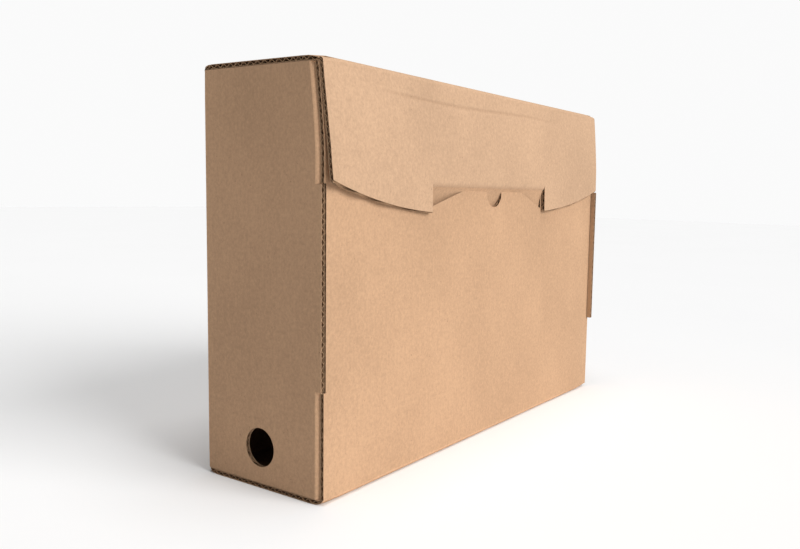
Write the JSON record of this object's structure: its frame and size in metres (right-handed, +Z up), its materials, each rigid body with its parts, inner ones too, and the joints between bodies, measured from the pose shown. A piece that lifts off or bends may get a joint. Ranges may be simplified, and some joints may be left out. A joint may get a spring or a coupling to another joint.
{
  "type": "archival box",
  "caption": "Upright corrugated archive box with a hinged lid, a curved front flap, a locking tongue and a round finger hole in one end.",
  "frame": {"origin": "middle of the underside of the bottom panel", "axes": "+Z up; -Y is the long front, with the lid flap; -X is the end with the finger hole"},
  "size_m": [0.387, 0.1156, 0.275],
  "materials": {
    "kraft_outside": "matte kraft liner with fine fibres",
    "kraft_inside": "matte recycled liner",
    "crease": "matte, pressed and slightly scuffed"
  },
  "bodies": {
    "carton": {"back_panel": "kraft_outside", "bottom_panel": "kraft_outside", "front_panel": "kraft_outside", "left_end_panel": "kraft_outside", "right_end_panel": "kraft_outside", "left_upper_tuck_flap": "kraft_inside", "left_lower_tuck_flap": "kraft_inside", "right_upper_tuck_flap": "kraft_inside", "right_lower_tuck_flap": "kraft_inside", "left_upper_tuck_crease": "crease", "left_lower_tuck_crease": "crease", "right_upper_tuck_crease": "crease", "right_lower_tuck_crease": "crease", "back_left_crease": "crease", "back_right_crease": "crease", "back_bottom_crease": "crease", "bottom_front_crease": "crease", "lid_crease": "crease"},
    "lid": {"lid_panel": "kraft_outside", "flap_crease": "crease"},
    "flap": {"lid_flap": "kraft_outside", "tongue_crease": "crease"},
    "tongue": {"tongue": "kraft_outside"}
  },
  "joints": [
    {"name": "lid_hinge", "type": "hinge", "parent": "carton", "child": "lid", "pos_m": [0, 0.0525, 0.2735], "axis": [-1, 0, 0], "range_deg": [0, 180]},
    {"name": "flap_hinge", "type": "hinge", "parent": "lid", "child": "flap", "pos_m": [0, -0.0558, 0.2735], "axis": [-1, 0, 0], "range_deg": [0, 90]},
    {"name": "tongue_hinge", "type": "hinge", "parent": "flap", "child": "tongue", "pos_m": [0, -0.0568, 0.20201], "axis": [-1, 0, 0], "range_deg": [0, 54]}
  ],
  "couplings": [
    {"joint": "flap_hinge", "follows": "lid_hinge", "ratio": 0.5},
    {"joint": "tongue_hinge", "follows": "lid_hinge", "ratio": 0.3}
  ]
}
